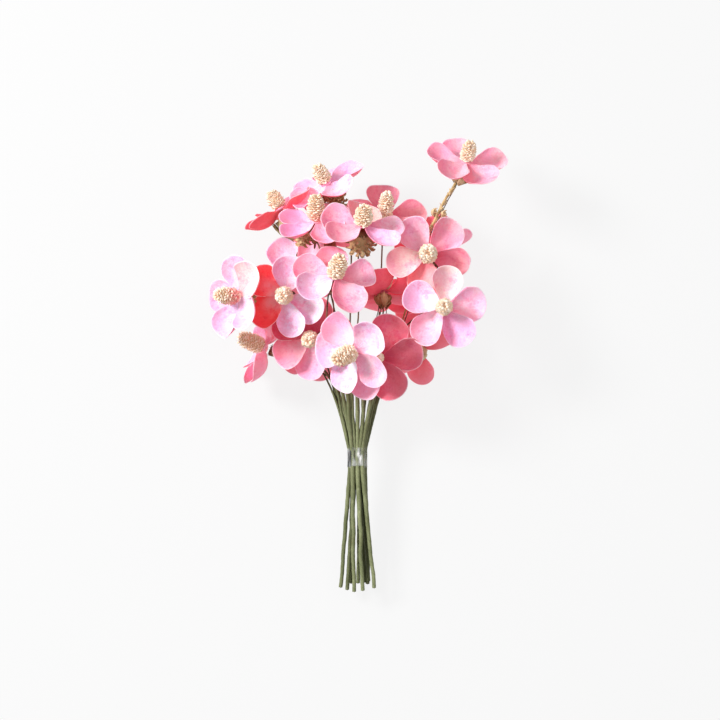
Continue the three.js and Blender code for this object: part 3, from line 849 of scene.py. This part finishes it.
def crepe_shape(number, path):
    """A stalk's path with its small kinks, and its radii with the knuckles where the crepe was started."""
    points = even_steps(path, STALK_STEPS, reach=STALK_BEND, nearby=15)
    above = (points[:, 1] - WAIST_HALF) / (FORK_Y - WAIST_HALF)
    below = (-points[:, 1] - WAIST_HALF) / 100
    radii = np.interp(above, [0, 1], [STALK_RADIUS, STALK_TIP_RADIUS])
    radii = np.where(below > 0, np.interp(below, [0, 1], [STALK_RADIUS, STALK_CUT_RADIUS]), radii)
    free = ease(0.1, 0.5, np.maximum(above, below))
    wander = rough(points[:, 1, None] / 21, number * 3.3, [0, 5.1])
    bent = points + (wander * free[:, None] * 0.9) @ np.array([[1, 0, 0], [0, 0, 1]])
    knuckle = KNUCKLES_FROM - KNUCKLE_STEP * (number % 4)
    radii = radii * (1 + 0.16 * np.exp(-(((points[:, 1] - knuckle) / 2.6) ** 2)) * (number % 3 > 0))
    return bent, radii * (1 + 0.05 * rough(points[:, 1] / 7, number * 1.7, 9.0))


def number_marks(piece, **marks):
    """The same number at every point, kept as a mark."""
    for mark, value in marks.items():
        values = np.full(len(piece.data.vertices), value, np.float32)
        piece.data.attributes.new(mark, "FLOAT", "POINT").data.foreach_set("value", values)


wound_bar = wound_group()
crepe_finish = green_crepe()
for number, (place, end, wires) in enumerate(STALKS, 1):
    bent, radii = crepe_shape(number, stalk_path(place, end))
    line = path_object("line", [(bent, radii)])
    piece = grown(
        line, wound_bar, f"stalk_{number}",
        Sides=14, Pitch=11.0, Step=0.18, Roughness=0.35, Material=crepe_finish,
    )
    lay(piece, LAID)
    # Painted shade: the back rows are marked deeper, and every other stalk a little deeper too.
    number_marks(piece, deep=(1 - place[1]) * 0.45 + 0.25 * (number % 2))
    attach(piece, "root")
    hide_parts(f"stalk_{number}_with_cups")


# Cups of bracts
# Behind each ring of petals sits a cup of dried bracts: long, stiff, fibrous strips, straw, brown or
# grey-green, which lap round it and narrow down onto the wire that carries the flower. Three cups are hidden
# in a ruff of small curled bracts.

CUP_DEPTH = 24
CUP_SEAT = HUB_BOTTOM - 0.3
CUP_OUTLINE = [(-24.5, 1.3), (-21, 3.4), (-16, 7.6), (-11, 9.4), (-6, 9.0)]
BRACTS = 22

# How a cup differs from the plain one: its tone, from straw through brown to green, how askew its bracts lie,
# its breadth and depth against the usual, and how far it is bent over, in degrees.
PLAIN_CUP = dict(tone=0.5, unruly=0.1, broad=1, deep=1, bent=0)
CUPS = {
    "a": dict(tone=0.05, unruly=0.4, broad=1.45, deep=0.98, bent=14),
    "b": dict(tone=0.35, unruly=0.9, broad=1.1, deep=0.95, bent=-6),
    "c": dict(tone=1.0, unruly=0.4, broad=1.5, deep=1.4),
    "d": dict(tone=0.3, unruly=0.5, broad=0.7, bent=6),
    "e": dict(tone=0.6, unruly=0.3, broad=0.9, deep=1.1),
    "k": dict(tone=0.3),
    "l": dict(tone=0.6, broad=0.6, deep=0.8),
    "r": dict(tone=0.0, unruly=0.5, broad=0.9, deep=0.5),
    "u": dict(tone=0.35, unruly=0.5, broad=0.9, deep=0.7),
}
CUPS = {letter: PLAIN_CUP | CUPS.get(letter, {}) for letter in FLOWERS}

# Cups with a ruff of small curled bracts: the number of their stalk, the ruff's tone, its height and radius,
# and how far it sits to a side.
RUFFS = {
    "b": (5, 0.42, 17, 8, (0, 0)),
    "d": (5, 0.0, 14, 6.5, (-13, 0)),
    "e": (6, 0.22, 21, 11, (0, 0)),
}
RUFF_CURLS = 46


def one_bract():
    """A narrow strip that follows the cup's outline from the wire up, dished across and pointed."""
    t, s = grid(9, 5)
    heights, reaches = zip(*CUP_OUTLINE)
    height = heights[0] + (heights[-1] - heights[0]) * t
    half_width = 0.5 + 2.3 * np.sin(np.pi * np.minimum(t * 1.1, 1)) ** 0.7
    reach = np.interp(height, heights, reaches) + 0.9 * ease(0.7, 1.0, t) - 0.5 * s * s
    middle = np.stack([reach, half_width * s, height - 1.5 * s * s * t], -1)
    return chip("bract", middle, 0.2, tip=t, across=s)


def bract_group(bract, material):
    """Bracts laid round the cup at golden turns, each longer, broader or more askew than the next."""
    inputs = {"Count": "Int", "Tone": "Float", "Unruly": "Float", "Seed": "Int"}
    tree, maker, given = node_group("cup_of_bracts", inputs)
    points = maker.add("GeometryNodeMeshLine", {}, {"Count": given["Count"], "Offset": (0.0, 0.0, 0.0)})
    index = maker.add("GeometryNodeInputIndex")
    askew = chance(maker, (-1.0, -1.0, -1.0), (1.0, 1.0, 1.0), given["Seed"])
    sockets = {0: askew, "Scale": given["Unruly"] * 0.16 + 0.05}
    askew = maker.add("ShaderNodeVectorMath", {"operation": "SCALE"}, sockets)
    turn = vector(maker, 0.0, 0.0, index * GOLDEN_TURN) + askew
    turn = maker.add("FunctionNodeEulerToRotation", {}, {"Euler": turn})
    spread = chance(maker, (0.86, 0.7, 0.86), (1.06, 1.25, 1.03), given["Seed"] + 5)
    strips = scattered(maker, bract, points, turn, spread, given["Seed"] + 2)
    both = maker.add("GeometryNodeJoinGeometry", {}, {"Geometry": [given["Geometry"], strips]})
    both = maker.add("GeometryNodeRealizeInstances", {}, {"Geometry": both})
    close_group(maker, kept(maker, both, "tone", given["Tone"], "POINT"), material)
    return tree


def bent_over(letter):
    """The frame of a flower's cup, which may be bent over against the flower's own."""
    return facing(FLOWERS[letter]) @ Matrix.Rotation(math.radians(CUPS[letter]["bent"]), 4, "Y")


def dried_bract():
    material, maker, shader = finish_of("dried_bract", Specular_IOR_Level=0.25)
    tip, across, shade, tone = (maker.mark(m) for m in ("tip", "across", "shade", "tone"))
    fibre = maker.grain(1.0, detail=3, at=vector(maker, across * 5.0 + shade * 40.0, tip * 1.6, shade * 9.0))
    clouds = maker.grain(4, detail=3)
    tones = [(0.0, "#ecd2a6"), (0.35, "#bb9366"), (0.6, "#8d6746"), (0.8, "#6d5a36"), (1.0, "#a5a878")]
    stops = [(at, dye(code)) for at, code in tones]
    coloured = maker.add("ShaderNodeValToRGB", {}, {"Fac": tone}, stops=stops)
    coloured = ((shade * 0.7 + clouds * 0.6).between(0.4, 1.0) * 0.55).tint(coloured, dye("#e6d2a8"))
    coloured = coloured.washed((1 - tip).between(0.5, 1.0) * 0.55, (0.6, 0.52, 0.42))
    coloured = coloured.washed((1 - fibre).between(0.46, 0.66) * 0.75, (0.5, 0.42, 0.36))
    feed(maker, shader, bump=(fibre, 0.0006), Base_Color=coloured, Roughness=clouds * 0.2 + 0.6)
    return material


def one_curl():
    """A short dished flake along Z whose end rolls over towards -Y."""
    t, s = grid(8, 4)
    half_width = 1.9 * np.sin(np.pi * (0.12 + 0.76 * t)) ** 0.7
    rolled = 2.6 * t
    over, up = -2.4 * (1 - np.cos(rolled)) + 0.4 * s * s, 2.6 * np.sin(rolled) + 2.2 * t
    return chip("curl", np.stack([half_width * s, over, up], -1), 0.2, tip=t, across=s)


bract_finish = dried_bract()
bract_shape, curl_shape = one_bract(), one_curl()
cup_of_bracts = bract_group(bract_shape, bract_finish)
for number, (_, _, wires) in enumerate(STALKS, 1):
    for letter in wires:
        rings = [(max(reach - 1.3, 0.6), height) for height, reach in reversed(CUP_OUTLINE)]
        core = core_of(rings, 14, tip=0.3, across=0.0, shade=0.0)
        cup = CUPS[letter]
        piece = grown(
            core, cup_of_bracts, f"cup_{letter}",
            Count=BRACTS, Tone=cup["tone"], Unruly=cup["unruly"], Seed=ord(letter),
        )
        stretched = Matrix.Diagonal((cup["broad"], cup["broad"], cup["deep"], 1))
        lay(piece, LAID @ bent_over(letter) @ Matrix.Translation((0, 0, CUP_SEAT)) @ stretched)
        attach(piece, "root")
        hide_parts(f"stalk_{number}_with_cups")
bpy.data.objects.remove(bract_shape)
spiral_of_curls = scale_group(curl_shape, bract_finish)
for letter, (number, tone, height, radius, aside) in RUFFS.items():
    piece = scaly(
        f"ruff_{letter}", spiral_of_curls, height, radius, Count=RUFF_CURLS, Stain=0.0, Seed=ord(letter)
    )
    number_marks(piece, tone=tone)
    flipped = Matrix.Translation((*aside, CUP_SEAT - 9)) @ Matrix.Rotation(math.pi, 4, "X")
    lay(piece, LAID @ facing(FLOWERS[letter]) @ flipped)
    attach(piece, "root")
    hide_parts(f"stalk_{number}_with_cups")


# Wires
# A thin dark stem carries each flower from its cup down into the top of its stalk, where the crepe binds it
# in. The tall flower's is a thicker one of straw, with a bare wire beside it, and one at the back has three
# spare wires. The cut end of each stalk shows its wire core.

WIRE_RADIUS = 0.75
STRAW_RADIUS = 1.3
SPARE_RADIUS = 0.45
SPARE_WIRES = {"a": [(2.6, -1.4, -1.2)], "u": [(-5.5, 0, 2), (-2.8, 0, 3), (3.2, 0, 1)]}
CORE_RADIUS = 0.5
WIRE_STEPS = 70
CLAD_FROM = 34
CLAD_FLOWER = "a"

# Where a flower's wire leaves its stalk at the tape already, still wrapped in crepe: the radius of that stem
# and the points it bends through.
EARLY_STEMS = {
    "l": (1.0, [(-8.2, 6, 0.5), (-17.5, 44, 3), (-26, 68, 2)]),
    "k": (1.25, [(-8, 8, 2), (-15.5, 44, 6), (-21, 68, 8)]),
    "j": (1.9, [(-5.5, 8, 4.8), (-8.3, 40, 11), (-10.8, 67, 13)]),
    "i": (1.35, [(-2.4, 8, 4.8), (-4.5, 40, 10), (-5.5, 67, 13)]),
    "g": (1.75, [(2.4, 8, 4.6), (5.5, 40, 9), (8, 67, 11)]),
    "h": (1.2, [(6.6, 8, 2.5), (12.8, 40, 6), (19, 67, 8)]),
    "r": (1.3, [(8, 8, -1), (16.5, 44, -3), (21.5, 67, -4)]),
    "y": (1.2, [(-7, 8, -3), (-13, 44, -8), (-19, 68, -10)]),
}
EARLY_END = 14


def wire_path(letter, fork, below, bends):
    deep = CUP_SEAT - CUP_DEPTH * CUPS[letter]["deep"]
    into_cup = [bent_over(letter) @ Vector((0, 0, deep + rise)) for rise in (-7, 2, 12)]
    return smooth_path([fork.lerp(below, 0.06), fork, *bends, *into_cup], WIRE_STEPS)


def bare_stem():
    material, maker, shader = finish_of("bare_stem", Specular_IOR_Level=0.3)
    clouds, fine = maker.grain(12, detail=3), maker.grain(0.7, detail=2)
    dark = clouds.between(0.35, 0.65).tint(dye("#4b4a33"), dye("#7d6346"))
    pale = clouds.between(0.35, 0.65).tint(dye("#a98d58"), dye("#d8c08c"))
    coloured = maker.mark("straw").tint(dark, pale)
    feed(maker, shader, bump=(fine, 0.0002), Base_Color=coloured, Roughness=fine * 0.2 + 0.5)
    return material


stem_finish = bare_stem()
BARE_BAR = dict(Sides=8, Pitch=40.0, Step=0.0, Material=stem_finish)
DARK = dict(bar=BARE_BAR, marks=dict(straw=0.0))
STRAW = dict(bar=BARE_BAR, marks=dict(straw=1.0))
# The early stems carry a little of the same painted shade.
WRAPPED = dict(bar=dict(Sides=10, Pitch=8.0, Step=0.15, Material=crepe_finish), marks=dict(deep=0.35))
for number, (place, end, wires) in enumerate(STALKS, 1):
    below, fork = stalk_path(place, end)[-2:]
    cut, _ = crepe_shape(number, stalk_path(place, end))
    outward = (cut[0] - cut[3]) / np.linalg.norm(cut[0] - cut[3])
    dark = [(np.array([cut[0] - outward, cut[0] + 0.5 * outward]), [CORE_RADIUS] * 2)]
    straw, wrapped = [], []
    for letter, bends in wires.items():
        points = wire_path(letter, fork, below, bends)
        share = np.linspace(0, 1, len(points))
        if letter in EARLY_STEMS:
            thick, through = EARLY_STEMS[letter]
            early = smooth_path([*through, *points[EARLY_END : EARLY_END + 2]], STALK_STEPS)
            lumps = rough(early[:, 1] / 9, thick * 9, 2.0)
            taper = ease(0.6, 1.0, np.linspace(0, 1, STALK_STEPS))
            wrapped.append((early, (thick + (WIRE_RADIUS - thick) * taper) * (1 + 0.1 * lumps)))
        if letter == CLAD_FLOWER:
            straw_path = points[CLAD_FROM:]
            straw.append((points, WIRE_RADIUS + (STRAW_RADIUS - WIRE_RADIUS) * ease(0.25, 0.7, share)))
        else:
            dark.append((points, [WIRE_RADIUS] * len(points)))
        for offset in SPARE_WIRES.get(letter, []):
            beside = points + np.outer(ease(0.05, 0.4, share) * ease(1.08, 0.8, share), offset)
            dark.append((beside, [SPARE_RADIUS] * len(points)))
    stems = (("early_stems", wrapped, WRAPPED), ("wires", dark, DARK), ("straw_stem", straw, STRAW))
    for name, lines, look in stems:
        if lines:
            line = path_object("line", lines)
            piece = grown(line, wound_bar, f"{name}_{number}", Roughness=0.3, **look["bar"])
            number_marks(piece, **look["marks"])
            lay(piece, LAID)
            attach(piece, "root")
            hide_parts(f"stalk_{number}_with_cups")


# Straw slivers
# The tall flower's stem is clad in short split slivers of straw that lie along it, and two pale tufts of
# curled flakes stand out at its foot, just over the flowers in front.

SLIVERS_ALONG = 70
CURLS_IN_TUFT = 12
TUFTS = [(75.4, 240.5, 22), (84.6, 238.5, 20)]
CLAD_STALK = 7
CLAD_DROP = (0, 1, 0)


def one_sliver():
    """A split strip of straw along Z, a little bowed, pointed at both ends."""
    t, s = grid(6, 3)
    half_width = 1.1 * np.sin(np.pi * (0.08 + 0.84 * t)) ** 0.6
    middle = np.stack([half_width * s, 2.2 * t * t + 0.5 * s * s, 6.5 * t], -1)
    return chip("sliver", middle, 0.16, tip=t, across=s)


def sliver_group(sliver, material):
    """Slivers at the points of a path, turned along it, each rolled and tilted out at random."""
    inputs = {"Count": "Int", "Tilt": "Float", "Size": "Float", "Seed": "Int"}
    tree, maker, given = node_group("slivers_along", inputs)
    sockets = {"Curve": given["Geometry"], "Count": given["Count"]}
    points = maker.add("GeometryNodeCurveToPoints", {}, sockets, out="Points")
    roll = vector(maker, 0.0, 0.0, chance(maker, 0.0, 2 * math.pi, given["Seed"]))
    tilt = vector(maker, given["Tilt"] * chance(maker, -1.0, 0.2, given["Seed"] + 1), 0.0, 0.0)
    aligned = points.sibling("Rotation")
    aligned = turned_by(maker, turned_by(maker, aligned, roll), tilt)
    spread = chance(maker, 0.6, 1.15, given["Seed"] + 2) * given["Size"]
    close_group(maker, scattered(maker, sliver, points, aligned, spread, given["Seed"] + 3), material)
    return tree


sliver_shape = one_sliver()
slivers_along = sliver_group(sliver_shape, bract_finish)
curls_along = sliver_group(curl_shape, bract_finish)
clad = [("stem_slivers", straw_path - CLAD_DROP, slivers_along, SLIVERS_ALONG, 0.25, 0.95)]
for number, at in enumerate(TUFTS, 1):
    foot = np.array(at)
    clad.append((f"tuft_{number}", np.array([foot - (0, 4, 0), foot]), curls_along, CURLS_IN_TUFT, 1.1, 1.0))
for name, points, group, count, tilt, size in clad:
    line = path_object("line", [(points, [1.0] * len(points))])
    piece = grown(line, group, name, Count=count, Tilt=tilt, Size=size, Seed=len(name))
    lay(piece, LAID)
    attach(piece, "root")
    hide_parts(f"stalk_{CLAD_STALK}_with_cups")
bpy.data.objects.remove(sliver_shape)
bpy.data.objects.remove(curl_shape)


# Tape
# A strip of clear film is wound tightly round the waist of the stalks. It lies clear on each stalk, and is
# hazy and creased where it bridges the gaps between them. Painted white glints lie along its creases and in
# its haze, and the film glows a little, a painted light.

TAPE_HALF = 10.5
TAPE_TURNS = 2.3
TAPE_START = 2.2
TAPE_FILM = 0.14
TAPE_STEPS = 170


def tape_film():
    places = np.array([(place[0] * STALK_PITCH, place[1] * STALK_ROW) for place, _, _ in STALKS])
    share, across = grid(TAPE_STEPS, 9)
    angle = 2 * np.pi * TAPE_TURNS * share + TAPE_START
    outward = np.stack([np.cos(angle), np.sin(angle)], -1)
    reaches = outward @ places.T
    ranked = np.sort(reaches, -1)
    bridging = ease(1.5, 0.1, ranked[..., -1] - ranked[..., -2])
    pinch = 0.25 * rough(angle * 1.7, across * 2.0, 4.0)
    reach = STALK_RADIUS + 0.35 + 0.24 * TAPE_TURNS * share + pinch
    spot = places[reaches.argmax(-1)] + outward * reach[..., None]
    slide = 1.3 * np.sin(angle) + 1.2 * (share - 0.5)
    height = TAPE_HALF * across * (0.94 + 0.06 * np.sin(angle * 1.3)) + slide * (1 - 0.4 * across)
    return thin_sheet(np.stack([spot[..., 0], height, spot[..., 1]], -1), TAPE_FILM / 2, bridging=bridging)


def clear_film():
    # The film glows a little in its colour, a painted light.
    material, maker, shader = finish_of("clear_film", IOR=1.45, Specular_IOR_Level=0.3, Emission_Strength=0.2)
    bridging = maker.mark("bridging")
    cloud = maker.grain(7, detail=3, stretch=(1.0, 0.35, 1.0))
    crease_and_glint = maker.grain(2.4, detail=2, stretch=(1.0, 0.2, 1.0)).between(0.5, 0.7)
    # Painted highlights: the film is whiter along its creases, and where it bridges the gaps it is hazy, with
    # painted white glints in the haze.
    coloured = crease_and_glint.tint(dye("#dfe3e2"), dye("#ffffff"))
    haze_and_glint = bridging * cloud.between(0.42, 0.66) * (crease_and_glint * 0.2 + 0.14) + crease_and_glint * 0.03 + 0.012
    feed(
        maker, shader, bump=(cloud + crease_and_glint * 0.5, 0.0003), Base_Color=coloured, Roughness=cloud * 0.3 + 0.28,
        Alpha=haze_and_glint, Emission_Color=coloured,
    )
    return material


points, faces, marks = tape_film()
tape = new_object("tape", settled(moved(points, LAID)), faces, clear_film(), {"bridging": marks["bridging"]})
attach(tape, "root")
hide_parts("waist_tape")


# Table, light and camera
# The bunch lies on a pale table that glows a little, under a soft light from the left and a weaker, broader
# one from the right. The camera looks straight down on its front.

TABLE_SIDE = 6
TABLE_GLOW = 0.85
SKY_STRENGTH = 0.32
CAMERA_AT = (2.46, 96.53, 3940)
CAMERA_SENSOR = 36
CAMERA_LENS = 200

bpy.ops.mesh.primitive_plane_add(size=TABLE_SIDE)
table = bpy.context.object
table.name = "table"
table_finish, _, _ = finish_of(
    "pale_table", Base_Color=dye("#4c4c4c"), Roughness=1.0,
    Emission_Color=(1, 1, 1, 1), Emission_Strength=TABLE_GLOW,
)
table.data.materials.append(table_finish)

world = bpy.data.worlds.new("studio")
bpy.context.scene.world = world
world.use_nodes = True
sky = world.node_tree.nodes["Background"].inputs
sky["Color"].default_value = (1, 1, 1, 1)
sky["Strength"].default_value = SKY_STRENGTH


def soft_light(name, at, size, power):
    light = bpy.data.lights.new(name, "AREA")
    light.shape, light.size, light.energy = "SQUARE", size, power
    lamp = placed(name, light)
    lamp.location = at
    lamp.rotation_euler = (-Vector(at)).to_track_quat("-Z", "Y").to_euler()


soft_light("key", (-1.55, 0.6, 1.5), 0.6, 57)
soft_light("fill", (0.9, 0.5, 2.2), 1.6, 14)

camera_data = bpy.data.cameras.new("photo")
camera_data.sensor_width, camera_data.lens = CAMERA_SENSOR, CAMERA_LENS
camera = placed("photo", camera_data)
turn = (LAID @ Matrix.Scale(1000, 4)).to_3x3().normalized().to_4x4()
camera.matrix_world = Matrix.Translation(LAID @ Vector(CAMERA_AT)) @ turn
bpy.context.scene.camera = camera
bpy.context.scene.view_settings.view_transform = "Standard"
